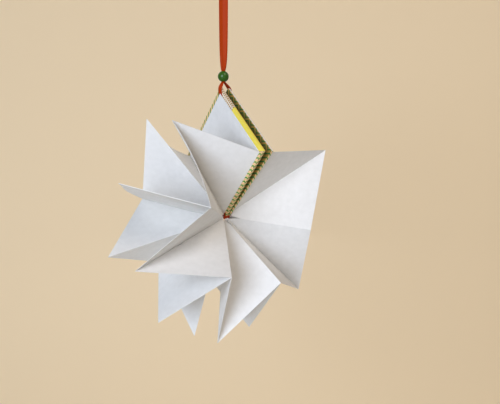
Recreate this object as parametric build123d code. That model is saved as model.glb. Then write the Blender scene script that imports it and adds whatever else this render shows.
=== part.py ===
from build123d import *
import os
from dataclasses import dataclass
from math import cos, radians, sin, sqrt

# Star book, hung open: five sheets of paper, each folded to a quarter-size square page, are glued
# page to page into a chain and opened right round into a star. The first and last pages are glued
# to two paper-covered boards that now stand back to back. A ribbon runs under those two pages,
# passes under the boards' lower corners, and its two ends go up through a bead to a knot.
# Millimetres. +Z is up, -Y is the near side of the star, and the origin is the top of the hanging eye.

# Paper sheets: a flat sheet is two pages wide and two pages long. The two layers of a page are glued
# together and part only at the peel, this far out from their inner corners. The paper keeps its
# thickness up to the pinch, this far from the sheet's middle point, where all the folds meet.
PAGE = 76.2
PAPER = 0.25
PEEL = 14.0
PINCH = 5.0

# Six pages round the star, from the front cover's page to the back cover's page, in degrees:
# turn about the star's axis from straight up, twist about the page's own outward diagonal,
# and lean of that diagonal towards the near side
PAGE_TURNS = (1.5, 73.5, 140.0, 196.5, 255.5, 358.5)
PAGE_TWISTS = (3.5, 4.0, 0.0, 3.0, 2.5, 0.5)
PAGE_LEANS = (-0.5, -1.5, -0.5, -1.5, -3.5, -0.5)

# Covers
COVER = 82.6
BOARD = 2.0
COVER_PAPER = 0.15
TURN_IN = 12.0
MITRE_SLIT = 0.2
COVER_RISE = 0.6
COVER_GAP = 0.8

# Ribbon
RIBBON_WIDTH = 9.5
RIBBON = 0.2
RIBBON_BEND = 0.5
RIBBON_AT_PAGE_TIP = 5.0
RIBBON_AT_COVER_TOP = 4.4
RIBBON_AT_FOLD = 4.0
RIBBON_IN_BEAD = 2.6
RIBBON_TAPER = 15.0
RIBBON_TURN = 29.0
RING_CLEARANCE = 0.7

# Width of the doubled ribbon as it spreads out again, by height above the bead's middle
HANGER_SPREAD = ((11.0, 5.2), (26.0, 7.2), (52.0, 8.6))

# Bead, hanging eye and knot
BEAD_DIAMETER = 10.0
BEAD_BORE = 3.2
BEAD_EDGE = 0.3
BEAD_ABOVE_COVERS = 10.0
BEAD_OFFSET = 0.2
BEAD_BELOW_EYE = 83.0
EYE_HEIGHT = 12.0
EYE_WIDTH = 6.0
EYE_NECK = 1.0
KNOT_WIDTH = 8.0
KNOT_DEPTH = 6.0
KNOT_HEIGHT = 6.0
KNOT_ROUND = 2.2
TAIL_LENGTH = 10.0
TAIL_WIDTH = 7.0
TAIL_SLANT = 3.0
TAIL_SPREAD = 12.0

# Sizes that follow from those above
page_half = PAGE / sqrt(2)
cover_half = COVER / sqrt(2)
cover_top = page_half + COVER_RISE + cover_half
cover_stack = PAPER / 2 + RIBBON + COVER_PAPER + BOARD + COVER_PAPER
cover_corner = cover_half + COVER_PAPER * sqrt(2)
corner_drop = cover_corner - page_half - COVER_RISE
bead_middle = Vector(0, 0, -BEAD_BELOW_EYE)
ribbon_section = RIBBON_WIDTH * RIBBON
ribbon_fold = ribbon_section / RIBBON_AT_FOLD


@dataclass
class Page:
    """A page's plane: its middle, outward diagonal, near-side diagonal and the way its turn grows."""
    middle: Vector
    out: Vector
    near: Vector
    side: Vector


def tangent(k):
    """Direction square to page k's outward line, in the star's middle plane, the way the turn grows."""
    turn = radians(PAGE_TURNS[k])
    return Vector(-cos(turn), 0, -sin(turn))


def page_directions(k):
    """Outward and near-side diagonals of page k, with its twist and its lean."""
    turn, twist, lean = (radians(angles[k]) for angles in (PAGE_TURNS, PAGE_TWISTS, PAGE_LEANS))
    out = Vector(-sin(turn), 0, cos(turn))
    near = Vector(0, -cos(twist), 0) + tangent(k) * sin(twist)
    return out * cos(lean) + near * sin(lean), near * cos(lean) - out * sin(lean)


def sheet_middles():
    """Middle points of the five sheets: a ring round the covers' lower corners.

    Each step of the ring is square to the page that it crosses, because the two layers of a page
    part evenly at their inner corners. The fourth sheet hangs just under the ribbon, or under the end pages'
    corners where the boards don't reach below them, and the third under the front board.
    """
    first = Vector(-BEAD_OFFSET, 0, bead_middle.Z - BEAD_ABOVE_COVERS - cover_top)
    fifth = first + Vector(2 * cover_stack + COVER_GAP, 0, 0)
    lowest = max(corner_drop, 0)
    drop = lowest + RIBBON_BEND + ribbon_fold / 2 + RING_CLEARANCE
    fourth = fifth - tangent(4) * (drop / tangent(4).Z)
    under_front_board = first.X + cover_stack - COVER_PAPER - BOARD / 2
    third = fourth - tangent(3) * ((fourth.X - under_front_board) / tangent(3).X)
    step = (third - first).cross(tangent(2)).Y / tangent(1).cross(tangent(2)).Y
    second = first + tangent(1) * step
    return [first, second, third, fourth, fifth]


def star_pages(middles):
    """The six pages: each inner one lies midway between its two sheets, an end one on its cover."""
    pages = []
    for k in range(len(PAGE_TURNS)):
        out, near = page_directions(k)
        before = middles[max(k - 1, 0)]
        after = middles[min(k, len(middles) - 1)]
        reach = page_half - PEEL + sqrt(PEEL ** 2 - (after - before).length ** 2 / 4)
        side = near.cross(out)
        glued = {0: -PAPER / 2, len(middles): PAPER / 2}.get(k, 0)
        pages.append(Page((before + after) * 0.5 + out * reach + side * glued, out, near, side))
    return pages


def fold_tip(middle, corner_a, corner_b, outward):
    """Tip of a fold: a page diagonal from the sheet's middle and a page side from both corners."""
    a, b = corner_a - middle, corner_b - middle
    across = a.cross(b)
    along_a, along_b = (a.dot(a) + PAGE ** 2) / 2, (b.dot(b) + PAGE ** 2) / 2
    square = across.dot(across)
    share_a = (along_a * b.dot(b) - along_b * a.dot(b)) / square
    share_b = (along_b * a.dot(a) - along_a * a.dot(b)) / square
    foot = a * share_a + b * share_b
    rise = across * sqrt((2 * PAGE ** 2 - foot.dot(foot)) / square)
    return middle + foot + (rise if rise.dot(outward) > 0 else rise * -1)


def normal(a, b, c):
    return (b - a).cross(c - a).normalized()


def crease_offset(one, other):
    """Half the paper's thickness on a crease, measured square to the two facets that meet there."""
    both = one + other
    return both * (PAPER / 2 / both.dot(one))


def peel_offset(corner, page, fold, bend_line):
    """Half the paper's thickness at an end of the peel, measured square to the three facets there."""
    mean = (corner + page).normalized()
    flat = mean * (PAPER / 2 / mean.dot(page))
    return flat + bend_line * ((PAPER / 2 - flat.dot(fold)) / bend_line.dot(fold))


def folded_sheet(middle, page_a, page_b):
    """One sheet with all its folds, from page_a round to page_b, as a closed solid of flat facets."""
    spots = {"middle": middle}
    for name, page, layer in (("a", page_a, 1), ("b", page_b, -1)):
        centre = page.middle + page.side * (layer * PAPER / 2)
        peel = centre - page.out * (page_half - PEEL)
        spots[name + "_tip"] = centre + page.out * page_half
        for end, across in (("near", page.near), ("far", page.near * -1)):
            spots[f"{name}_{end}"] = centre + across * page_half
            spots[f"{name}_{end}_peel"] = peel + across * PEEL
    outward = page_a.out + page_b.out
    for end in ("near", "far"):
        spots["fold_" + end] = fold_tip(middle, spots["a_" + end], spots["b_" + end], outward)

    facets = {
        "a_corner": ("middle", "a_near_peel", "a_far_peel"),
        "a_far_inner": ("middle", "a_far_peel", "fold_far"),
        "b_far_inner": ("middle", "fold_far", "b_far_peel"),
        "b_corner": ("middle", "b_far_peel", "b_near_peel"),
        "b_near_inner": ("middle", "b_near_peel", "fold_near"),
        "a_near_inner": ("middle", "fold_near", "a_near_peel"),
        "a_page": ("a_near", "a_tip", "a_far", "a_far_peel", "a_near_peel"),
        "b_page": ("b_far", "b_tip", "b_near", "b_near_peel", "b_far_peel"),
        "a_far_outer": ("a_far_peel", "a_far", "fold_far"),
        "b_far_outer": ("fold_far", "b_far", "b_far_peel"),
        "b_near_outer": ("b_near_peel", "b_near", "fold_near"),
        "a_near_outer": ("fold_near", "a_near", "a_near_peel"),
    }
    normals = {facet: normal(*(spots[name] for name in names[:3])) for facet, names in facets.items()}

    offsets = {"middle": crease_offset(normals["a_corner"], normals["b_corner"])}
    for side in "ab":
        bend_line = (spots[side + "_near_peel"] - spots[side + "_far_peel"]).normalized()
        corner, page = normals[side + "_corner"], normals[side + "_page"]
        offsets[side + "_tip"] = page * (PAPER / 2)
        for end in ("near", "far"):
            inner, outer = normals[f"{side}_{end}_inner"], normals[f"{side}_{end}_outer"]
            offsets[f"{side}_{end}_peel"] = peel_offset(corner, page, inner, bend_line)
            offsets[f"{side}_{end}"] = crease_offset(page, outer)
    for end in ("near", "far"):
        offsets["fold_" + end] = crease_offset(normals[f"a_{end}_inner"], normals[f"b_{end}_inner"])

    round_middle = [facet for facet, names in facets.items() if names[0] == "middle"]
    for before, facet in zip(round_middle[-1:] + round_middle, round_middle):
        crease = facets[facet][1]
        spots["pinch_" + crease] = middle + (spots[crease] - middle).normalized() * PINCH
        offsets["pinch_" + crease] = crease_offset(normals[before], normals[facet])

    outlines = [names for facet, names in facets.items() if facet not in round_middle]
    for facet in round_middle:
        start, end = facets[facet][1:]
        outlines.append(("pinch_" + start, start, end, "pinch_" + end))
        outlines.append(("middle", "pinch_" + start, "pinch_" + end))
    front = {name: spot + offsets[name] for name, spot in spots.items()}
    back = {name: spot - offsets[name] for name, spot in spots.items()}
    loops = []
    for names in outlines:
        loops.append([front[name] for name in names])
        loops.append([back[name] for name in reversed(names)])
    rim = ["a_near", "a_tip", "a_far", "fold_far", "b_far", "b_tip", "b_near", "fold_near"]
    for name, following in zip(rim, rim[1:] + rim[:1]):
        loops.append([front[following], front[name], back[name]])
        loops.append([front[following], back[name], back[following]])
    faces = [Face(Wire.make_polygon(loop, close=True)) for loop in loops]
    return Solid(Shell(faces))


def cover_plane(page, outer):
    """Plane of a board's inner face, with X and Y along the board's edges and Z towards its outer face."""
    centre = page.middle + page.out * COVER_RISE + outer * (RIBBON + COVER_PAPER)
    return Plane(origin=centre, x_dir=page.out + page.near, z_dir=outer)


def cover_board():
    return Box(COVER, COVER, BOARD, align=(Align.CENTER, Align.CENTER, Align.MIN))


def cover_wrap():
    """Paper over a board's outer face and edges, turned in and mitred on its inner face."""
    wrapped = COVER + 2 * COVER_PAPER
    wrap = Pos(0, 0, -COVER_PAPER) * Box(wrapped, wrapped, BOARD + 2 * COVER_PAPER,
                                         align=(Align.CENTER, Align.CENTER, Align.MIN))
    window = COVER - 2 * TURN_IN
    wrap -= cover_board()
    wrap -= Box(window, window, 2 * COVER_PAPER)
    slit = Box(TURN_IN * sqrt(2), MITRE_SLIT, COVER_PAPER, align=(Align.MIN, Align.CENTER, Align.MAX))
    for quarter in range(4):
        wrap -= Rot(0, 0, 45 + 90 * quarter) * Pos(window / sqrt(2) - MITRE_SLIT, 0, 0) * slit
    return wrap


def ribbon_at(centre, across, along, width, thickness):
    """Cross-section of the ribbon, square to its run."""
    return Plane(origin=centre, x_dir=across, z_dir=along) * Rectangle(width, thickness)


def ribbon_down(page, outer):
    """Cross-sections of the ribbon on a board's inner face, from the board's top corner downwards."""
    face = page.middle + outer * RIBBON
    gathered = ribbon_section / RIBBON_AT_COVER_TOP
    stations = (
        (COVER_RISE + cover_corner, RIBBON_AT_COVER_TOP, gathered),
        (page_half + COVER_RISE, RIBBON_AT_PAGE_TIP, RIBBON),
        (page_half - RIBBON_TAPER, RIBBON_WIDTH, RIBBON),
        (RIBBON_TAPER - page_half, RIBBON_WIDTH, RIBBON),
        (-page_half - RIBBON_BEND, RIBBON_AT_PAGE_TIP, RIBBON),
        (COVER_RISE - cover_corner, RIBBON_AT_FOLD, ribbon_fold),
    )
    return [(face + page.out * height - outer * (thickness / 2), width, thickness)
            for height, width, thickness in stations]


def ribbon_wrap(first, last, first_outer, last_outer):
    """Ribbon held under the first and last pages and passed under the boards' lower corners."""
    sections = []
    front = ribbon_down(first, first_outer)
    back = ribbon_down(last, last_outer)
    for centre, width, thickness in front:
        sections.append(ribbon_at(centre, first.near, first.out * -1, width, thickness))
    low_front, low_back = front[-1][0], back[-1][0]
    under = (low_back - low_front).normalized()
    across = (first.near + last.near).normalized()
    half = sqrt(0.5)
    turns = (
        (low_front - first.out * (RIBBON_BEND * half) + under * (RIBBON_BEND * (1 - half)), under - first.out),
        (low_front - first.out * RIBBON_BEND + under * RIBBON_BEND, under),
        (low_back - last.out * RIBBON_BEND - under * RIBBON_BEND, under),
        (low_back - last.out * (RIBBON_BEND * half) - under * (RIBBON_BEND * (1 - half)), under + last.out),
    )
    for centre, along in turns:
        sections.append(ribbon_at(centre, across, along, RIBBON_AT_FOLD, ribbon_fold))
    for centre, width, thickness in reversed(back):
        sections.append(ribbon_at(centre, last.near, last.out, width, thickness))
    return loft(sections, ruled=True)


def hanger_across():
    return Vector(sin(radians(RIBBON_TURN)), -cos(radians(RIBBON_TURN)), 0)


def ribbon_strand(page, outer, layer):
    """One end of the ribbon, from the board's top corner into the bead, gathered to half the bore."""
    centre, width, thickness = ribbon_down(page, outer)[0]
    through = hanger_across().cross(Vector(0, 0, 1)) * layer
    half_bore = ribbon_section / RIBBON_IN_BEAD
    entry = bead_middle - Vector(0, 0, BEAD_DIAMETER / 2) + through * (half_bore / 2)
    inside = bead_middle + through * (half_bore / 2)
    up = Vector(0, 0, 1)
    return loft([
        ribbon_at(centre, page.near, page.out, width, thickness),
        ribbon_at(entry, hanger_across(), up, RIBBON_IN_BEAD, half_bore),
        ribbon_at(inside, hanger_across(), up, RIBBON_IN_BEAD, half_bore),
    ], ruled=True)


def ribbon_hanger():
    """Doubled ribbon from the bead's middle up to the foot of the eye."""
    up = Vector(0, 0, 1)
    eye_foot = BEAD_BELOW_EYE - EYE_HEIGHT - EYE_NECK
    spread = ((0.0, RIBBON_IN_BEAD), (BEAD_DIAMETER / 2, RIBBON_IN_BEAD)) + HANGER_SPREAD
    spread += ((eye_foot, RIBBON_WIDTH),)
    return loft([
        ribbon_at(bead_middle + up * height, hanger_across(), up, width, 2 * ribbon_section / width)
        for height, width in spread
    ], ruled=True)


def ribbon_eye():
    """Eye for a hook, where the ribbon's two layers part below the knot."""
    up = Vector(0, 0, 1)
    top, side, bottom = (0, 0), (EYE_WIDTH / 2, -EYE_HEIGHT / 2), (0, -EYE_HEIGHT)
    arc = ThreePointArc(top, side, bottom)
    hole = make_face([arc, mirror(arc, about=Plane.YZ)])
    neck = Pos(0, -EYE_HEIGHT / 2) * Rectangle(2 * RIBBON, EYE_HEIGHT + 2 * EYE_NECK)
    profile = offset(hole, RIBBON) + neck - hole
    face_on = Plane(origin=(0, 0, 0), x_dir=up.cross(hanger_across()), z_dir=hanger_across())
    return extrude(face_on * profile, RIBBON_WIDTH / 2, both=True)


def ribbon_knot():
    """The two ends tied together above the eye, with their cut tails standing up."""
    knot = Pos(0, 0, EYE_NECK) * Box(KNOT_WIDTH, KNOT_DEPTH, KNOT_HEIGHT,
                                     align=(Align.CENTER, Align.CENTER, Align.MIN))
    knot = fillet(knot.edges().filter_by(Axis.Z) + knot.edges().group_by(Axis.Z)[-1], KNOT_ROUND)
    foot = EYE_NECK + KNOT_HEIGHT / 2
    tail_height = KNOT_HEIGHT / 2 + TAIL_LENGTH
    half = TAIL_WIDTH / 2
    outline = Polyline((-half, 0), (half, 0), (half, tail_height), (-half, tail_height - TAIL_SLANT), close=True)
    tail = extrude(Plane.XZ * make_face(outline), RIBBON)
    for lean in (TAIL_SPREAD, -TAIL_SPREAD):
        knot += Pos(0, 0, foot) * Rot(lean, 0, 0) * tail
    return Rot(0, 0, RIBBON_TURN - 90) * knot


def bead():
    ball = Sphere(BEAD_DIAMETER / 2) - Cylinder(BEAD_BORE / 2, 2 * BEAD_DIAMETER)
    rims = ball.edges().filter_by(GeomType.CIRCLE).group_by(Axis.Z)
    return Pos(*bead_middle) * fillet(rims[0] + rims[-1], BEAD_EDGE)


middles = sheet_middles()
pages = star_pages(middles)
first_page, last_page = pages[0], pages[-1]
front_outer, back_outer = first_page.side * -1, last_page.side

nodes = {
    "front_cover_board": cover_plane(first_page, front_outer) * cover_board(),
    "front_cover_paper": cover_plane(first_page, front_outer) * cover_wrap(),
    "back_cover_board": cover_plane(last_page, back_outer) * cover_board(),
    "back_cover_paper": cover_plane(last_page, back_outer) * cover_wrap(),
    "ribbon_wrap": ribbon_wrap(first_page, last_page, front_outer, back_outer),
    "ribbon_front_strand": ribbon_strand(first_page, front_outer, 1),
    "ribbon_back_strand": ribbon_strand(last_page, back_outer, -1),
    "ribbon_hanger": ribbon_hanger(),
    "ribbon_eye": ribbon_eye(),
    "ribbon_knot": ribbon_knot(),
    "bead": bead(),
}
for number, middle in enumerate(middles, start=1):
    nodes[f"page_sheet_{number}"] = folded_sheet(middle, pages[number - 1], pages[number])

os.makedirs("parts", exist_ok=True)
for name, shape in nodes.items():
    export_step(shape, f"parts/{name}.step")
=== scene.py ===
from math import cos, exp, pi, radians, sin, sqrt

import bmesh
import bpy
from mathutils import Matrix, Vector


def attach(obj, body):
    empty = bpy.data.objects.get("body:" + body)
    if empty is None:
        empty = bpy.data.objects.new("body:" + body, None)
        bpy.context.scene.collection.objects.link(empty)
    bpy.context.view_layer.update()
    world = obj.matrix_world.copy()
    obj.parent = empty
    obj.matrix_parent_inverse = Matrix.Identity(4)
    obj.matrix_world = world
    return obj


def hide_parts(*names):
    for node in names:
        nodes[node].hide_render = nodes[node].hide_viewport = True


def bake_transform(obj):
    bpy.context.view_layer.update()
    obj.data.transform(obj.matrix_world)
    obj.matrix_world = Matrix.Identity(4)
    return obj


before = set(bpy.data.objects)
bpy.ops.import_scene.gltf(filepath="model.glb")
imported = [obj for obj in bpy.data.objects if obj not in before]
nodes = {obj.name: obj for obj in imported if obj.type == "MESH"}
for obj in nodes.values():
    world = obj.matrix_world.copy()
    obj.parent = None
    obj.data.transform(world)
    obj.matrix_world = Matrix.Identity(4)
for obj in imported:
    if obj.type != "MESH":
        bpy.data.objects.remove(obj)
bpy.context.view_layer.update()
MM = 0.001
UP = Vector((0, 0, 1))

# The part's sizes in millimetres and its turns in degrees, as in its source
PAGE = 76.2
PAPER = 0.25
PEEL = 14.0
PAGE_TURNS = (1.5, 73.5, 140.0, 196.5, 255.5, 358.5)
PAGE_TWISTS = (3.5, 4.0, 0.0, 3.0, 2.5, 0.5)
PAGE_LEANS = (-0.5, -1.5, -0.5, -1.5, -3.5, -0.5)
COVER = 82.6
BOARD = 2.0
COVER_PAPER = 0.15
COVER_RISE = 0.6
COVER_GAP = 0.8
RIBBON_WIDTH = 9.5
RIBBON = 0.2
RIBBON_BEND = 0.5
RIBBON_TAPER = 15.0
RIBBON_AT_PAGE_TIP = 5.0
RIBBON_AT_FOLD = 4.0
RIBBON_IN_BEAD = 2.6
RIBBON_TURN = 29.0
RING_CLEARANCE = 0.7
BEAD_DIAMETER = 10.0
BEAD_BORE = 3.2
BEAD_ABOVE_COVERS = 10.0
BEAD_OFFSET = 0.2
BEAD_BELOW_EYE = 83.0
EYE_HEIGHT = 12.0
EYE_WIDTH = 6.0
EYE_NECK = 1.0
KNOT_WIDTH = 8.0
KNOT_DEPTH = 6.0
KNOT_HEIGHT = 6.0
TAIL_LENGTH = 10.0
TAIL_WIDTH = 7.0
TAIL_SLANT = 3.0
TAIL_SPREAD = 12.0

# Sizes that follow from those above
page_half = PAGE / sqrt(2)
cover_half = COVER / sqrt(2)
cover_top = page_half + COVER_RISE + cover_half
cover_stack = PAPER / 2 + RIBBON + COVER_PAPER + BOARD + COVER_PAPER
cover_corner = cover_half + COVER_PAPER * sqrt(2)
corner_drop = cover_corner - page_half - COVER_RISE
star_middle = Vector((-BEAD_OFFSET, 0, -BEAD_BELOW_EYE - BEAD_ABOVE_COVERS - cover_top))


# Finishes. The patterns' sizes are in millimetres
PAPER_CLOUD = 5.0
PAPER_TOOTH = 0.6
HERRINGBONE_STRIPE = 4.6
HERRINGBONE_TURN = 5.2
HERRINGBONE_START = 1.0
PRINT_GRAIN = 0.5
RIBBON_RIB = 0.8
BEAD_RUN = 3.0
BOARD_FLECK = 1.2
# The margin's dots: how far apart they are, the share of that which is a dot's radius, and how far
# down the board's edge they go
DOT_SPACING = 2.4
DOT_RADIUS_SHARE = 0.32
DOTS_END = -14.0
# The inks of a stripe, each with the share of the stripe's width at which it starts
EDGE_INKS = ((0.0, "#467f30"), (0.24, "#7d9c46"), (0.38, "#f2d69e"), (0.58, "#ebb57c"),
             (0.8, "#f3dba6"))
# The outer face's inks are the print's own greens and oranges, darkened as painted shade of the
# narrow gap between the covers
PAINTED_SHADE_FACE_INKS = ((0.0, "#2f5f2c"), (0.3, "#73803a"), (0.5, "#c98a3e"), (0.68, "#7d8440"),
             (0.84, "#a87a3c"))


def srgb(hex_colour):
    """A hex colour as the linear colour that a shader socket takes."""
    parts = [int(hex_colour[i:i + 2], 16) / 255 for i in (1, 3, 5)]
    linear = [c / 12.92 if c <= 0.04045 else ((c + 0.055) / 1.055) ** 2.4 for c in parts]
    return (*linear, 1.0)


def add(tree, kind, links=None, output=0, **settings):
    """Add a shader node with its settings, and return one of its outputs.

    links gives its sockets values or other nodes' outputs. A colour mix takes its share at
    socket 0 and its colours at 6 and 7, and gives the mixed colour at output 2.
    """
    node = tree.nodes.new("ShaderNode" + kind)
    for name, value in settings.items():
        setattr(node, name, value)
    for socket, value in (links or {}).items():
        if isinstance(value, bpy.types.NodeSocket):
            tree.links.new(value, node.inputs[socket])
        else:
            node.inputs[socket].default_value = value
    return node.outputs[output]


def material(name, **inputs):
    """A new material with plain values set on its shader, and its nodes."""
    made = bpy.data.materials.new(name)
    made.use_nodes = True
    shader = made.node_tree.nodes["Principled BSDF"]
    for socket, value in inputs.items():
        shader.inputs[socket.replace("_", " ")].default_value = value
    return made, made.node_tree, shader


def uncoated_page_paper():
    """Uncoated wove paper, pressed between felts: matt white, faintly cloudy, softly toothed."""
    made, tree, shader = material("uncoated_page_paper", Roughness=0.9, Specular_IOR_Level=0.2)
    where = add(tree, "TexCoord", output="Object")
    # Fibre lies thicker and thinner in clouds, which shows as a very slight mottle
    cloud = add(tree, "TexNoise", {"Vector": where, "Scale": 1 / (PAPER_CLOUD * MM), "Detail": 3.0})
    white = add(tree, "Mix", {0: cloud, 6: srgb("#e6e4df"), 7: srgb("#f5f3ef")}, 2,
                data_type="RGBA")
    tree.links.new(white, shader.inputs["Base Color"])
    # The real tooth is about 0.1 mm and wouldn't show, so it is drawn coarser
    tooth = add(tree, "TexNoise", {"Vector": where, "Scale": 1 / (PAPER_TOOTH * MM), "Detail": 2.0})
    rough = add(tree, "Bump", {"Height": tooth, "Strength": 0.3, "Distance": 0.05 * MM})
    tree.links.new(rough, shader.inputs["Normal"])
    return made


def printed_cover_paper(name, centre, axes, margin, margin_depth, dotted):
    """Offset-printed paper pasted round a board: matt ink in a herringbone, and a plain margin.

    centre and axes give the board's own frame, so the print is laid out in millimetres on the
    board. margin is the margin's colour, and margin_depth how far it goes over the board's edge.
    """
    made, tree, shader = material(name, Roughness=0.6, Specular_IOR_Level=0.3)
    where = add(tree, "TexCoord", output="Object")
    board = add(tree, "Mapping", {"Vector": where, "Location": centre, "Rotation": axes.to_euler(),
                                  "Scale": (MM, MM, MM)}, vector_type="TEXTURE")
    x, y, z = add(tree, "SeparateXYZ", {0: board}).node.outputs
    # Stripes that turn back on themselves; the depth is taken in so that they run on over the edges
    shifted = add(tree, "Math", {0: y, 1: HERRINGBONE_START}, operation="ADD")
    zigzag = add(tree, "Math", {0: shifted, 1: HERRINGBONE_TURN}, operation="PINGPONG")
    unrolled = add(tree, "Math", {0: x, 1: z}, operation="SUBTRACT")
    slant = add(tree, "Math", {0: unrolled, 1: zigzag}, operation="ADD")
    slant = add(tree, "Math", {0: slant, 1: HERRINGBONE_STRIPE}, operation="DIVIDE")
    stripe = add(tree, "Math", {0: slant}, operation="FRACT")
    inks = []
    for stops in (EDGE_INKS, PAINTED_SHADE_FACE_INKS):
        ink = add(tree, "ValToRGB", {0: stripe})
        ramp = ink.node.color_ramp
        ramp.interpolation = "CONSTANT"
        while len(ramp.elements) < len(stops):
            ramp.elements.new(1.0)
        for element, (at, colour) in zip(ramp.elements, stops):
            element.position, element.color = at, srgb(colour)
        inks.append(ink)
    # The outer face carries the print's inks darkened as painted shade of the narrow gap between the
    # two covers, and the edges and turn-ins the lighter, unshaded inks
    outer = add(tree, "Math", {0: z, 1: BOARD + COVER_PAPER / 2}, operation="GREATER_THAN")
    # printed holds the print, with painted shade on the outer face
    printed = add(tree, "Mix", {0: outer, 6: inks[0], 7: inks[1]}, 2, data_type="RGBA")
    # One turn-in is plain, and the front cover's has a run of dots at its upper end
    level = add(tree, "Math", {0: y}, operation="ABSOLUTE")
    flap = add(tree, "Math", {0: x, 1: level}, operation="GREATER_THAN")
    shallow = add(tree, "Math", {0: z, 1: margin_depth}, operation="LESS_THAN")
    plain = add(tree, "Math", {0: flap, 1: shallow}, operation="MULTIPLY")
    edging = srgb(margin)
    if dotted:
        flat = add(tree, "CombineXYZ", {0: unrolled, 1: y})
        reach = add(tree, "TexVoronoi",
                    {"Vector": flat, "Scale": 1 / DOT_SPACING, "Randomness": 0.0},
                    voronoi_dimensions="2D")
        dot = add(tree, "Math", {0: reach, 1: DOT_RADIUS_SHARE}, operation="LESS_THAN")
        dots = add(tree, "Mix", {0: dot, 6: srgb("#f7e6cf"), 7: srgb("#b0883c")}, 2,
                   data_type="RGBA")
        low = add(tree, "Math", {0: y, 1: DOTS_END}, operation="GREATER_THAN")
        edging = add(tree, "Mix", {0: low, 6: dots, 7: edging}, 2, data_type="RGBA")
    colour = add(tree, "Mix", {0: plain, 6: printed, 7: edging}, 2, data_type="RGBA")
    tree.links.new(colour, shader.inputs["Base Color"])
    # Paper grain under the ink, drawn coarser than the real 0.1 mm so that it shows
    grain = add(tree, "TexNoise", {"Vector": where, "Scale": 1 / (PRINT_GRAIN * MM)})
    rough = add(tree, "Bump", {"Height": grain, "Strength": 0.2, "Distance": 0.04 * MM})
    tree.links.new(rough, shader.inputs["Normal"])
    return made


def woven_satin_ribbon():
    """Woven polyester satin: threads floating along it give fine ribs and a soft streaky shine."""
    made, tree, shader = material("woven_satin_ribbon", Roughness=0.45, Specular_IOR_Level=0.08)
    across_and_along = add(tree, "TexCoord", output="UV")
    # Real ribs are about 0.2 mm apart and wouldn't show, so they are drawn coarser. The wave
    # repeats every pi / 10 at scale 1, and the ribbon is 1 across
    scale = RIBBON_WIDTH / RIBBON_RIB * pi / 10
    ribs = add(tree, "TexWave", {"Vector": across_and_along, "Scale": scale, "Distortion": 0.4},
               output="Fac", bands_direction="X")
    rust = add(tree, "Mix", {0: ribs, 6: srgb("#a43207"), 7: srgb("#b63f0a")}, 2,
               data_type="RGBA")
    tree.links.new(rust, shader.inputs["Base Color"])
    ridge = add(tree, "Bump", {"Height": ribs, "Strength": 0.25, "Distance": 0.06 * MM})
    tree.links.new(ridge, shader.inputs["Normal"])
    return made


def enamelled_bead():
    """Turned wood dipped in enamel: deep green with a soft highlight, uneven where the dip ran."""
    made, tree, shader = material("enamelled_bead", Roughness=0.5, Specular_IOR_Level=0.1,
                                  Coat_Weight=0.5, Coat_Roughness=0.08)
    where = add(tree, "TexCoord", output="Object")
    run = add(tree, "TexNoise", {"Vector": where, "Scale": 1 / (BEAD_RUN * MM), "Detail": 1.0})
    green = add(tree, "Mix", {0: run, 6: srgb("#245404"), 7: srgb("#2c5e0a")}, 2,
                data_type="RGBA")
    tree.links.new(green, shader.inputs["Base Color"])
    return made


def pressed_grey_board():
    """Grey board pressed from waste paper: dull, with flecks of fibre."""
    made, tree, shader = material("pressed_grey_board", Roughness=0.95, Specular_IOR_Level=0.2)
    where = add(tree, "TexCoord", output="Object")
    fleck = add(tree, "TexNoise", {"Vector": where, "Scale": 1 / (BOARD_FLECK * MM), "Detail": 4.0})
    grey = add(tree, "Mix", {0: fleck, 6: srgb("#94897a"), 7: srgb("#b8ad98")}, 2,
               data_type="RGBA")
    tree.links.new(grey, shader.inputs["Base Color"])
    return made


page_paper = uncoated_page_paper()
ribbon_satin = woven_satin_ribbon()
bead_enamel = enamelled_bead()
grey_board = pressed_grey_board()


# Meshes

def mesh_piece(name, points, faces, paint, uvs=None):
    """A smooth-shaded mesh from points in millimetres."""
    mesh = bpy.data.meshes.new(name)
    mesh.from_pydata([p * MM for p in points], [], faces)
    mesh.materials.append(paint)
    if uvs:
        layer = mesh.uv_layers.new(name="uv")
        for loop in mesh.loops:
            layer.data[loop.index].uv = uvs[loop.vertex_index]
    mesh.shade_smooth()
    made = bpy.data.objects.new(name, mesh)
    bpy.context.scene.collection.objects.link(made)
    return made


def thicken(piece, thickness, sharp=25):
    """Give a single layer its thickness, with its folds and cut edges kept sharp."""
    bpy.context.view_layer.objects.active = piece
    bpy.ops.object.select_all(action="DESELECT")
    piece.select_set(True)
    solid = piece.modifiers.new("thickness", "SOLIDIFY")
    solid.thickness, solid.offset, solid.use_even_offset = thickness * MM, 0.0, True
    bpy.ops.object.modifier_apply(modifier=solid.name)
    bpy.ops.object.shade_smooth_by_angle(angle=radians(sharp))


# The folded sheets, laid out as in the part's source. A page's two layers curl apart over CURL at
# its inner corner, where the source bends them straight over PEEL.
CURL = 9.0
CURL_BEND = 0.65 * CURL
# An end page stands proud over the ribbon: by how much, half how wide, how soon it is flat beside
# that, and how far in from the page's edges
RIBBON_SWELL = 0.12
SWELL_HALF_WIDTH = 3.0
SWELL_FADE = 3.5
SWELL_FROM_EDGE = 6.0
# How far each page's far half sags to its next page's side, and how soon beside its diagonal
PAGE_SAGS = (0.0, 3.0, 0.0, 0.0, 0.0, 0.0)
SAG_BESIDE = 12.0
# Steps of a sheet's mesh along a page's edge, and how near points have to be to become one
GRID = 32
WELD = 0.02


def smooth(t):
    """A soft step from 0 to 1."""
    t = min(max(t, 0.0), 1.0)
    return t * t * (3 - 2 * t)


def tangent(k):
    """The way a page moves as its turn grows."""
    turn = radians(PAGE_TURNS[k])
    return Vector((-cos(turn), 0, -sin(turn)))


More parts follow.
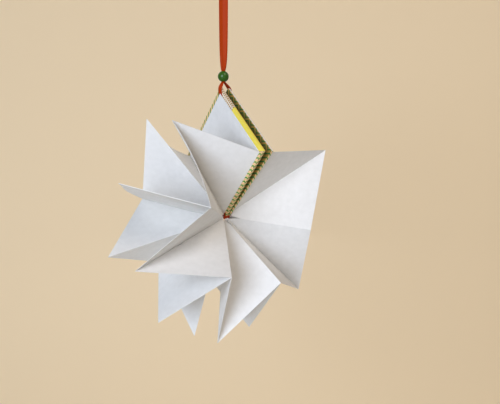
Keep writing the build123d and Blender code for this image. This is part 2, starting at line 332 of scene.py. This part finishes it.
class Page:
    """A page's middle, outward diagonal, near-side diagonal and the way its turn grows."""

    def __init__(self, k, before, after):
        turn, twist, lean = (radians(angles[k]) for angles in (PAGE_TURNS, PAGE_TWISTS, PAGE_LEANS))
        out = Vector((-sin(turn), 0, cos(turn)))
        near = Vector((0, -cos(twist), 0)) + tangent(k) * sin(twist)
        self.out, self.near = out * cos(lean) + near * sin(lean), near * cos(lean) - out * sin(lean)
        self.side = self.near.cross(self.out)
        reach = page_half - PEEL + sqrt(PEEL ** 2 - (after - before).length_squared / 4)
        self.middle = (before + after) / 2 + self.out * reach


def sheet_middles():
    """Middle points of the five sheets: a ring round the covers' lower corners."""
    first = star_middle
    fifth = first + Vector((2 * cover_stack + COVER_GAP, 0, 0))
    drop = corner_drop + RIBBON_BEND + RIBBON_WIDTH * RIBBON / RIBBON_AT_FOLD / 2 + RING_CLEARANCE
    fourth = fifth - tangent(4) * (drop / tangent(4).z)
    under_front_board = first.x + cover_stack - COVER_PAPER - BOARD / 2
    third = fourth - tangent(3) * ((fourth.x - under_front_board) / tangent(3).x)
    step = (third - first).cross(tangent(2)).y / tangent(1).cross(tangent(2)).y
    return [first, first + tangent(1) * step, third, fourth, fifth]


def fold_tip(middle, corner_a, corner_b, outward):
    """A fold's tip: a page's diagonal from the sheet's middle, a page's edge from each corner."""
    a, b = corner_a - middle, corner_b - middle
    across = a.cross(b)
    along_a, along_b = (a.dot(a) + PAGE ** 2) / 2, (b.dot(b) + PAGE ** 2) / 2
    square = across.dot(across)
    foot = a * ((along_a * b.dot(b) - along_b * a.dot(b)) / square)
    foot += b * ((along_b * a.dot(a) - along_a * a.dot(b)) / square)
    rise = across * sqrt((2 * PAGE ** 2 - foot.dot(foot)) / square)
    return middle + foot + (rise if rise.dot(outward) > 0 else -rise)


def page_grid(page, layer, corner):
    """Points over a page by steps along its two inner edges, from its inner corner to its tip.

    The page is flat out to its tip and curls gently towards its own sheet at the inner corner.
    An end page swells a little over the ribbon that lies under it.
    """
    glued = page in (pages[0], pages[-1])
    sag = PAGE_SAGS[pages.index(page)]
    centre = page.middle + page.side * (0 if glued else layer * PAPER / 2)
    start = centre - page.out * (page_half - CURL)
    bend = start - page.out * CURL_BEND
    grid = {}
    for i in range(GRID + 1):
        for j in range(GRID + 1):
            along, sideways = (i + j) * PAGE / GRID / sqrt(2), (i - j) * PAGE / GRID / sqrt(2)
            if along < CURL and not glued:
                t = 1 - along / CURL
                place = start * (1 - t) ** 2 + bend * (2 * t * (1 - t)) + corner * t ** 2
            else:
                place = centre + page.out * (along - page_half)
            lift = sag * (1 - exp(-(sideways / SAG_BESIDE) ** 2)) if sideways < 0 else 0
            if glued:
                inside = min(along, 2 * page_half - along) - abs(sideways)
                beside = 1 - smooth((abs(sideways) - SWELL_HALF_WIDTH) / SWELL_FADE)
                lift += layer * RIBBON_SWELL * beside * smooth(inside / SWELL_FROM_EDGE)
            grid[i, j] = place + page.near * sideways + page.side * lift
    return grid


def fold_facet(crease, tip, opposite, bow, edge_bow):
    """A fold's facet: straight lines from the fold's tip to a page's bent edge, swollen inwards.

    bow is the swell of its middle, and edge_bow that of its free edge: 27 and 4 make each of their
    shapes 1 at its highest.
    """
    middle, corner = crease[0], crease[-1]
    face_normal = (corner - middle).cross(tip - middle).normalized()
    if face_normal.dot(opposite - middle) < 0:
        face_normal = -face_normal
    rows = []
    for j in range(GRID + 1):
        v = j / GRID
        row = []
        for i in range(GRID + 1 - j):
            u = i / GRID
            place = u / (1 - v) * GRID if j < GRID else 0
            low = min(int(place), GRID - 1)
            base = crease[low].lerp(crease[low + 1], place - low)
            swell = bow * 27 * u * v * (1 - u - v) + edge_bow * 4 * u * v
            row.append(base.lerp(tip, v) + face_normal * swell)
        rows.append(row)
    return rows


def folded_sheet(number, middle, page_a, page_b, bows):
    """One sheet: two pages and, on each side, a fold of two facets between them."""
    points, faces = [], []

    def add_points(batch):
        first = len(points)
        points.extend(batch)
        return first

    edges = {}
    for name, page, layer in (("a", page_a, 1), ("b", page_b, -1)):
        grid = page_grid(page, layer, middle)
        count = GRID + 1
        first = add_points([grid[i, j] for i in range(count) for j in range(count)])
        for i in range(GRID):
            for j in range(GRID):
                k = first + i * count + j
                face = (k, k + count, k + count + 1, k + 1)
                faces.append(face if layer > 0 else face[::-1])
        edges[name, "near"] = [grid[i, 0] for i in range(count)]
        edges[name, "far"] = [grid[0, i] for i in range(count)]
    for end, (bow_a, bow_b) in zip(("near", "far"), bows):
        tip = fold_tip(middle, edges["a", end][-1], edges["b", end][-1], page_a.out + page_b.out)
        for name, other, bow in (("a", "b", bow_a), ("b", "a", bow_b)):
            rows = fold_facet(edges[name, end], tip, edges[other, end][-1], *bow)
            starts = [add_points(row) for row in rows]
            flip = (name == "a") == (end == "far")
            for j in range(GRID):
                for i in range(GRID - j):
                    a, b = starts[j] + i, starts[j + 1] + i
                    faces.append((a, a + 1, b) if flip else (b, a + 1, a))
                    if i < GRID - j - 1:
                        faces.append((a + 1, b + 1, b) if flip else (b, b + 1, a + 1))
    sheet = mesh_piece(f"sheet_{number}", points, faces, page_paper)
    welded = bmesh.new()
    welded.from_mesh(sheet.data)
    bmesh.ops.remove_doubles(welded, verts=welded.verts, dist=WELD * MM)
    welded.to_mesh(sheet.data)
    welded.free()
    thicken(sheet, PAPER)
    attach(sheet, "book")
    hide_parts(f"page_sheet_{number}")


middles = sheet_middles()
pages = [Page(k, before, after)
         for k, (before, after) in enumerate(zip(middles[:1] + middles, middles + middles[-1:]))]
first_page, last_page = pages[0], pages[-1]
# Each sheet's near fold and far fold, and for a fold's two facets the swell of the middle and of
# the free edge
fold_bows = (
    (((2.4, 0.0), (0.6, 3.3)), ((1.0, 6.0), (1.0, 0.0))),
    (((0.6, 0.0), (1.6, 0.0)), ((1.0, 0.0), (1.0, 0.0))),
    (((0.6, 0.0), (2.4, 0.0)), ((1.0, 0.0), (1.0, 0.0))),
    (((0.6, 0.0), (2.4, 0.0)), ((1.0, 0.0), (1.0, 0.0))),
    (((1.2, 0.0), (0.8, 0.0)), ((1.0, 0.0), (1.0, 0.0))),
)
for number, (middle, bows) in enumerate(zip(middles, fold_bows), start=1):
    folded_sheet(number, middle, pages[number - 1], pages[number], bows)


# The covers

def cover_frame(page, outer):
    """Middle of a board's inner face and its axes: two along the edges, one to the outer face."""
    centre = page.middle + page.out * COVER_RISE + outer * (PAPER / 2 + RIBBON + COVER_PAPER)
    x_axis = (page.out + page.near).normalized()
    return centre, Matrix((x_axis, outer.cross(x_axis), outer)).transposed()


front_outer, back_outer = -first_page.side, last_page.side
# Each cover's margin: its colour, how deep it goes over the board's edge, and whether it has dots
for name, page, outer, *margin in (("front", first_page, front_outer, "#ffe85c", 1.9, True),
                                   ("back", last_page, back_outer, "#f8f2ee", 1.2, False)):
    centre, axes = cover_frame(page, outer)
    paper, board = nodes[name + "_cover_paper"], nodes[name + "_cover_board"]
    paper.data.materials.clear()
    paper.data.materials.append(
        printed_cover_paper(name + "_cover_paper", centre * MM, axes, *margin))
    board.data.materials.clear()
    board.data.materials.append(grey_board)


# The ribbon

# Its width where it is laid round the boards' lower corners, how deep it is folded there and at the
# page's tip, and the steps of its mesh along a board and round a corner
RIBBON_ROUND_CORNER = 6.0
CORNER_FOLD = 0.04
PAGE_TIP_FOLD = 0.12
WRAP_STEPS = 60
BEND_STEPS = 8
# How many waves its pleats make over half its width, and the turn past which its mesh has an edge
PLEATS = 1.25
RIBBON_SHARP = 40
# Above the bead it spreads, quickly and then slowly: how much wider it gets, and over what height.
# NARROWING is the share of that which is lost again in the knot's neck
SPREAD_FROM = 4.0
QUICK_SPREAD, QUICK_HEIGHT = 3.9, 7.0
SLOW_SPREAD, SLOW_HEIGHT = 2.5, 40.0
NARROWING = 0.85
NECK_FROM, NECK_HEIGHT = 6.0, 7.0
# How deep its pleats are in the bead, how far it is cupped above, and the space between its layers
PLEAT_DEPTH = 0.3
CUP_DEPTH = 1.1
LAYER_GAP = 0.06
# How far its layers run up into the knot, and the steps of their mesh
INTO_KNOT = 1.0
HANGER_STEPS = 90

across = Vector((sin(radians(RIBBON_TURN)), -cos(radians(RIBBON_TURN)), 0))
through = across.cross(UP)
bead_middle = Vector((0, 0, -BEAD_BELOW_EYE))


def strip(name, rows):
    """A ribbon through rows of points across its width."""
    count = len(rows[0])
    points = [p for row in rows for p in row]
    faces = [(r * count + c, r * count + c + 1, (r + 1) * count + c + 1, (r + 1) * count + c)
             for r in range(len(rows) - 1) for c in range(count - 1)]
    uvs = [(c / (count - 1), r / (len(rows) - 1)) for r in range(len(rows)) for c in range(count)]
    made = mesh_piece(name, points, faces, ribbon_satin, uvs)
    thicken(made, RIBBON, RIBBON_SHARP)
    return made


def hanger_width(height):
    """Width at a height above the bead's middle: gathered in the bore and again in the knot."""
    quick = QUICK_SPREAD * (1 - exp(-max(height - SPREAD_FROM, 0) / QUICK_HEIGHT))
    slow = SLOW_SPREAD * (1 - exp(-height / SLOW_HEIGHT))
    knotted = smooth((height - BEAD_BELOW_EYE + NECK_FROM) / NECK_HEIGHT)
    return RIBBON_IN_BEAD + (quick + slow) * (1 - NARROWING * knotted)


def hanger_row(height, layer, columns=25):
    """A row of a layer of the doubled ribbon: pleated where narrow, cupped, parted at the eye."""
    width = hanger_width(height)
    z = height - BEAD_BELOW_EYE
    gathered = 1 - (width - RIBBON_IN_BEAD) / (RIBBON_WIDTH - RIBBON_IN_BEAD)
    pleat = PLEAT_DEPTH * smooth(gathered * 1.6)
    cup = CUP_DEPTH * smooth((1 - gathered) * 1.4)
    up_eye = min(max((z + EYE_HEIGHT + EYE_NECK) / (EYE_HEIGHT + EYE_NECK), 0), 1)
    part = EYE_WIDTH / 2 * sin(pi * up_eye) ** 2
    row = []
    for c in range(columns):
        s = 2 * c / (columns - 1) - 1
        depth = (RIBBON + LAYER_GAP) / 2 + pleat * (1 + cos(2 * pi * PLEATS * s)) + part
        row.append(UP * z + across * (s * width / 2)
                   + through * (layer * depth + cup * (1 / 3 - s * s)))
    return row


def joined(name, parts):
    """Several meshes as one piece."""
    bpy.ops.object.select_all(action="DESELECT")
    for part in parts:
        part.select_set(True)
    bpy.context.view_layer.objects.active = parts[0]
    bpy.ops.object.join()
    parts[0].name = name
    return parts[0]


hanger_top = BEAD_BELOW_EYE + EYE_NECK + INTO_KNOT
heights = [hanger_top * k / HANGER_STEPS for k in range(HANGER_STEPS + 1)]
hanger = joined("hanging_ribbon", [
    strip(f"ribbon_layer_{layer}", [hanger_row(h, layer) for h in heights]) for layer in (1, -1)])
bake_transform(hanger)
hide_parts("ribbon_hanger", "ribbon_eye")


def ribbon_row(centre, line, width, fold_way, fold, rise=Vector(), columns=17):
    """One row across the ribbon, folded lengthwise where it is drawn together.

    rise is how its two sides climb as they go out, where they are laid along a corner's edges.
    """
    sides = [2 * c / (columns - 1) - 1 for c in range(columns)]
    return [centre + line * (s * width / 2) + rise * abs(s * width / 2)
            + fold_way * (fold * (1 + cos(2 * pi * PLEATS * s))) for s in sides]


def under_page(page, outer, height):
    """A row of the ribbon on a board's inner face: full width under the page, drawn in at its tips.

    Below the page its sides climb along the board's lower corner.
    """
    low = smooth((-page_half - height) / corner_drop)
    full = smooth((page_half - abs(height)) / RIBBON_TAPER)
    width = RIBBON_AT_PAGE_TIP + (RIBBON_WIDTH - RIBBON_AT_PAGE_TIP) * full
    width += (RIBBON_ROUND_CORNER - RIBBON_AT_PAGE_TIP) * low
    centre = page.middle + page.out * height + outer * (PAPER / 2 + RIBBON / 2)
    fold = PAGE_TIP_FOLD * smooth((abs(height) - page_half) / 1.5) * (1 - 0.7 * low)
    return ribbon_row(centre, page.near, width, -outer, fold, page.out * low)


def wrapped_ribbon():
    """The ribbon's middle: under the first page, round the boards' low corners, under the last."""
    tip, lowest = page_half + COVER_RISE, COVER_RISE - cover_corner
    heights = [tip + (lowest - tip) * k / WRAP_STEPS for k in range(WRAP_STEPS + 1)]
    rows = [under_page(first_page, front_outer, h) for h in heights]
    low_front, low_back = (page.middle + page.out * lowest + outer * (PAPER / 2 + RIBBON / 2)
                           for page, outer in ((first_page, front_outer), (last_page, back_outer)))
    under = (low_back - low_front).normalized()
    line = (first_page.near + last_page.near).normalized()
    for corner, way in ((low_front, 1), (low_back, -1)):
        for k in range(BEND_STEPS + 1):
            angle = pi / 2 * (k / BEND_STEPS if way > 0 else 1 - k / BEND_STEPS)
            outward = under * (-way * cos(angle)) - first_page.out * sin(angle)
            centre = corner + under * (way * RIBBON_BEND) + outward * RIBBON_BEND
            rows.append(ribbon_row(centre, line, RIBBON_ROUND_CORNER, outward, CORNER_FOLD,
                                   first_page.out))
    rows += [under_page(last_page, back_outer, h) for h in reversed(heights)]
    made = strip("wrapped_ribbon", rows)
    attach(made, "book")
    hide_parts("ribbon_wrap")


# How far a strand is drawn in over a board's top corner and into the bead's lower end, where on its
# way up it starts to gather, how deep it is folded at its start and how much deeper at the bead, and
# the steps of its mesh below the bead and in it
CORNER_INSET = 0.1
BEAD_INSET = 0.6
GATHER_FROM = 0.55
START_FOLD = 0.05
DEEPER_FOLD = 0.1
STEPS_BELOW_BEAD = 28
STEPS_IN_BEAD = 8


def strand(name, page, outer, layer, aside, corner_width, node):
    """One end of the ribbon, drawn from the page's tip over the board's top corner into the bead.

    aside is how far it lies to the near side of the corner, and corner_width its width there.
    """
    face = page.middle + outer * (PAPER / 2 + RIBBON / 2)
    start = face + page.out * (page_half + COVER_RISE)
    corner = face + page.out * (COVER_RISE + cover_corner) + page.near * aside
    corner -= outer * CORNER_INSET
    bundle = RIBBON_WIDTH * RIBBON / RIBBON_IN_BEAD
    entry = bead_middle - UP * (BEAD_DIAMETER / 2 - BEAD_INSET) + through * (layer * bundle / 2)
    bend = corner * 2 - (start + entry) / 2
    rows = []
    for k in range(STEPS_BELOW_BEAD + STEPS_IN_BEAD + 1):
        t = k / STEPS_BELOW_BEAD
        if t <= 1:
            centre = start * (1 - t) ** 2 + bend * (2 * t * (1 - t)) + entry * t ** 2
        else:
            centre = entry + UP * ((t - 1) * BEAD_DIAMETER)
        width = RIBBON_AT_PAGE_TIP + (corner_width - RIBBON_AT_PAGE_TIP) * smooth(2 * t)
        gathered = smooth((t - GATHER_FROM) / (1 - GATHER_FROM))
        width += (RIBBON_IN_BEAD - corner_width) * gathered
        line = page.near.lerp(across, smooth(t)).normalized()
        fold_way = (-outer).lerp(through * layer, smooth(t)).normalized()
        fold = START_FOLD + DEEPER_FOLD * smooth(t)
        rows.append(ribbon_row(centre, line, width, fold_way, fold))
    made = strip(name, rows)
    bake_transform(made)
    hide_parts(node)
    return made


wrapped_ribbon()
front_strand = strand("front_strand", first_page, front_outer, 1, aside=0.6, corner_width=4.4,
                      node="ribbon_front_strand")
back_strand = strand("back_strand", last_page, back_outer, -1, aside=-1.5, corner_width=4.2,
                     node="ribbon_back_strand")


# The knot's wound turn: how many times it goes round, how far it slants, how far its end lies over
# its start, how deep its creases are, and how far it keeps inside the knot's size round and up
KNOT_TURNS = 1.25
KNOT_SLANT = 0.5
KNOT_OVERLAP = 0.5
KNOT_CREASE = 0.14
KNOT_INSET = 0.8
KNOT_INSET_UP = 0.6
# A cut end: where its spread starts, over what length it spreads, how deep it is folded at its foot
# and cupped above, and how far out of the knot's middle it starts
TAIL_SPREAD_FROM = 2.0
TAIL_SPREAD_LENGTH = 7.0
TAIL_FOLD = 0.35
TAIL_CUP = 0.5
TAIL_OUT = 0.2
# Steps of the knot's meshes along the turn and along a cut end, and their columns across the ribbon
TURN_STEPS = 96
TAIL_STEPS = 32
KNOT_COLUMNS = [c / 8 - 1 for c in range(17)]


def knot_turn():
    """The turn wound round the neck: slanting, creased along its length, drawn in at both edges."""
    rows = []
    for k in range(TURN_STEPS + 1):
        angle = 2 * pi * KNOT_TURNS * k / TURN_STEPS
        lift = EYE_NECK + KNOT_HEIGHT / 2 + KNOT_SLANT * cos(angle)
        row = []
        for s in KNOT_COLUMNS:
            crease = KNOT_OVERLAP * k / TURN_STEPS + KNOT_CREASE * cos(3 * pi * s + angle)
            drawn_in = sqrt(1 - 0.8 * s * s)
            wide, deep = (size / 2 - KNOT_INSET + crease for size in (KNOT_WIDTH, KNOT_DEPTH))
            row.append(UP * (lift + s * (KNOT_HEIGHT / 2 - KNOT_INSET_UP))
                       + (across * (wide * cos(angle)) + through * (deep * sin(angle))) * drawn_in)
        rows.append(row)
    return strip("knot_turn", rows)


def knot_tail(layer):
    """A cut end that stands up out of the knot, gathered at its foot and cut on a slant."""
    foot, lean = EYE_NECK + KNOT_HEIGHT / 2, radians(TAIL_SPREAD)
    rows = []
    for k in range(TAIL_STEPS + 1):
        row = []
        for s in KNOT_COLUMNS:
            length = KNOT_HEIGHT / 2 + TAIL_LENGTH - TAIL_SLANT * (1 - s) / 2
            reach = k / TAIL_STEPS * length
            spread = smooth((reach - TAIL_SPREAD_FROM) / TAIL_SPREAD_LENGTH)
            width = RIBBON_IN_BEAD + (TAIL_WIDTH - RIBBON_IN_BEAD) * spread
            fold = TAIL_FOLD * (1 - spread) * cos(2 * pi * PLEATS * s)
            fold += TAIL_CUP * spread * (1 / 3 - s * s)
            row.append(UP * (foot + reach * cos(lean)) + across * (s * width / 2)
                       + through * (layer * (TAIL_OUT + reach * sin(lean)) + fold))
        rows.append(row)
    return strip(f"knot_tail_{layer}", rows)


knot = joined("tied_knot", [knot_turn(), knot_tail(1), knot_tail(-1)])
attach(knot, "book")
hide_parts("ribbon_knot")


# The bead

def turned(name, profile, paint, steps=64):
    """A solid of revolution about Z from a closed profile of (radius, height)."""
    count = len(profile)
    points, faces = [], []
    for k in range(steps):
        turn = 2 * pi * k / steps
        points += [Vector((r * cos(turn), r * sin(turn), z)) for r, z in profile]
        here, there = k * count, (k + 1) % steps * count
        faces += [(here + i, there + i, there + (i + 1) % count, here + (i + 1) % count)
                  for i in range(count)]
    return mesh_piece(name, points, faces, paint)


# The bore's rounded rim: how far out it starts, and two points of it, outwards and down
RIM_START = 0.25
RIM_ROUND = ((0.12, 0.06), (0.0, 0.35))
BALL_CLEAR_OF_RIM = 0.3

bore, ball = BEAD_BORE / 2, BEAD_DIAMETER / 2
rim = sqrt(ball ** 2 - (bore + RIM_START) ** 2)
profile = [(ball * cos(a), ball * sin(a)) for a in (pi / 2 * k / 20 for k in range(-20, 21))
           if ball * cos(a) > bore + BALL_CLEAR_OF_RIM]
profile += [(bore + outwards, rim - down) for outwards, down in RIM_ROUND]
profile += [(bore + outwards, down - rim) for outwards, down in reversed(RIM_ROUND)]
bead = turned("bead_ball", profile, bead_enamel)
bead.location = bead_middle * MM
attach(bead, "bead")
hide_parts("bead")


# Camera, stage and light

# The camera's turn and height angle in degrees, its view's width and focal length in pixels, its
# sensor in millimetres, and how far it stands from the star's middle in metres
CAMERA_AZIMUTH, CAMERA_ELEVATION = -41.318, 2.746
VIEW_WIDTH, FOCAL_LENGTH = 500, 593.23
SENSOR_WIDTH = 36.0
CAMERA_BACK, CAMERA_RIGHT, CAMERA_UP = 0.53546, 0.023968, 0.010756
# The stage stands this far behind and below the star, in metres
BACKDROP_BEHIND, FLOOR_BELOW, STAGE_SIZE = 0.9, 0.7, 6.0
# The surround's strength to the eye, and what it gives as light
SURROUND_SEEN, SURROUND_LIGHT = 0.6, 0.03


def area_light(name, place, aim, size, power, colour):
    """A round soft lamp that isn't seen itself."""
    data = bpy.data.lights.new(name, "AREA")
    data.shape, data.size, data.energy, data.color = "DISK", size, power, srgb(colour)[:3]
    lamp = bpy.data.objects.new(name, data)
    lamp.location = place
    lamp.visible_camera = False
    lamp.rotation_euler = (Vector(aim) - Vector(place)).to_track_quat("-Z", "Y").to_euler()
    bpy.context.scene.collection.objects.link(lamp)


azimuth, elevation = radians(CAMERA_AZIMUTH), radians(CAMERA_ELEVATION)
back = Vector((sin(azimuth) * cos(elevation), -cos(azimuth) * cos(elevation), sin(elevation)))
right = Vector((cos(azimuth), sin(azimuth), 0))
above = back.cross(right)
centre = star_middle * MM

camera = bpy.data.cameras.new("camera")
camera.sensor_width, camera.lens = SENSOR_WIDTH, FOCAL_LENGTH / VIEW_WIDTH * SENSOR_WIDTH
viewer = bpy.data.objects.new("camera", camera)
viewer.matrix_world = Matrix((right, above, back)).transposed().to_4x4()
viewer.location = centre + back * CAMERA_BACK + right * CAMERA_RIGHT + above * CAMERA_UP
bpy.context.scene.collection.objects.link(viewer)
bpy.context.scene.camera = viewer


def seen_by_eye(tree):
    """1 where a surface is seen itself or in a gloss, and 0 where it only lights something else."""
    rays = add(tree, "LightPath").node.outputs
    seen = add(tree, "Math", {0: rays["Is Camera Ray"], 1: rays["Is Glossy Ray"]},
               operation="MAXIMUM")
    return add(tree, "Math", {0: seen, 1: rays["Is Transmission Ray"]}, operation="MAXIMUM")


def painted_plaster(name, paint, glow):
    """Matt emulsion on plaster: an even field, made paler to the eye without lighting the part."""
    made, tree, shader = material(name, Base_Color=srgb(paint), Roughness=1.0,
                                  Specular_IOR_Level=0.0, Emission_Color=srgb(glow))
    tree.links.new(seen_by_eye(tree), shader.inputs["Emission Strength"])
    return made


for name, spot, facing, paint, glow in (
        ("backdrop", centre - back * BACKDROP_BEHIND, back, "#f0dcba", "#605038"),
        ("floor", centre - UP * FLOOR_BELOW, UP, "#f1ece2", "#80796e")):
    bpy.ops.mesh.primitive_plane_add(size=STAGE_SIZE, location=spot)
    stage = bpy.context.object
    stage.name = name
    stage.rotation_euler = facing.to_track_quat("Z", "Y").to_euler()
    stage.data.materials.append(painted_plaster(name + "_plaster", paint, glow))

# Cool light from a window at the left, warm light from the room at the right, and a little behind
area_light("window", centre + back * 2.0 - right * 0.89 + above * 0.22, centre,
           size=1.6, power=45.0, colour="#dfebff")
area_light("warm_fill", centre + back * 1.29 + right * 1.04 + above * 1.45, centre,
           size=1.6, power=19.0, colour="#fff2e6")
area_light("back_fill", centre - back * 0.8 + above * 0.25, centre,
           size=0.8, power=3.0, colour="#ebf2ff")
world = bpy.data.worlds.new("studio")
world.use_nodes = True
surround = world.node_tree.nodes["Background"]
surround.inputs["Color"].default_value = srgb("#f4e6d0")
strength = add(world.node_tree, "Math",
               {0: seen_by_eye(world.node_tree), 1: SURROUND_SEEN, 2: SURROUND_LIGHT},
               operation="MULTIPLY_ADD")
world.node_tree.links.new(strength, surround.inputs["Strength"])
bpy.context.scene.world = world
bpy.context.scene.view_settings.view_transform = "Standard"
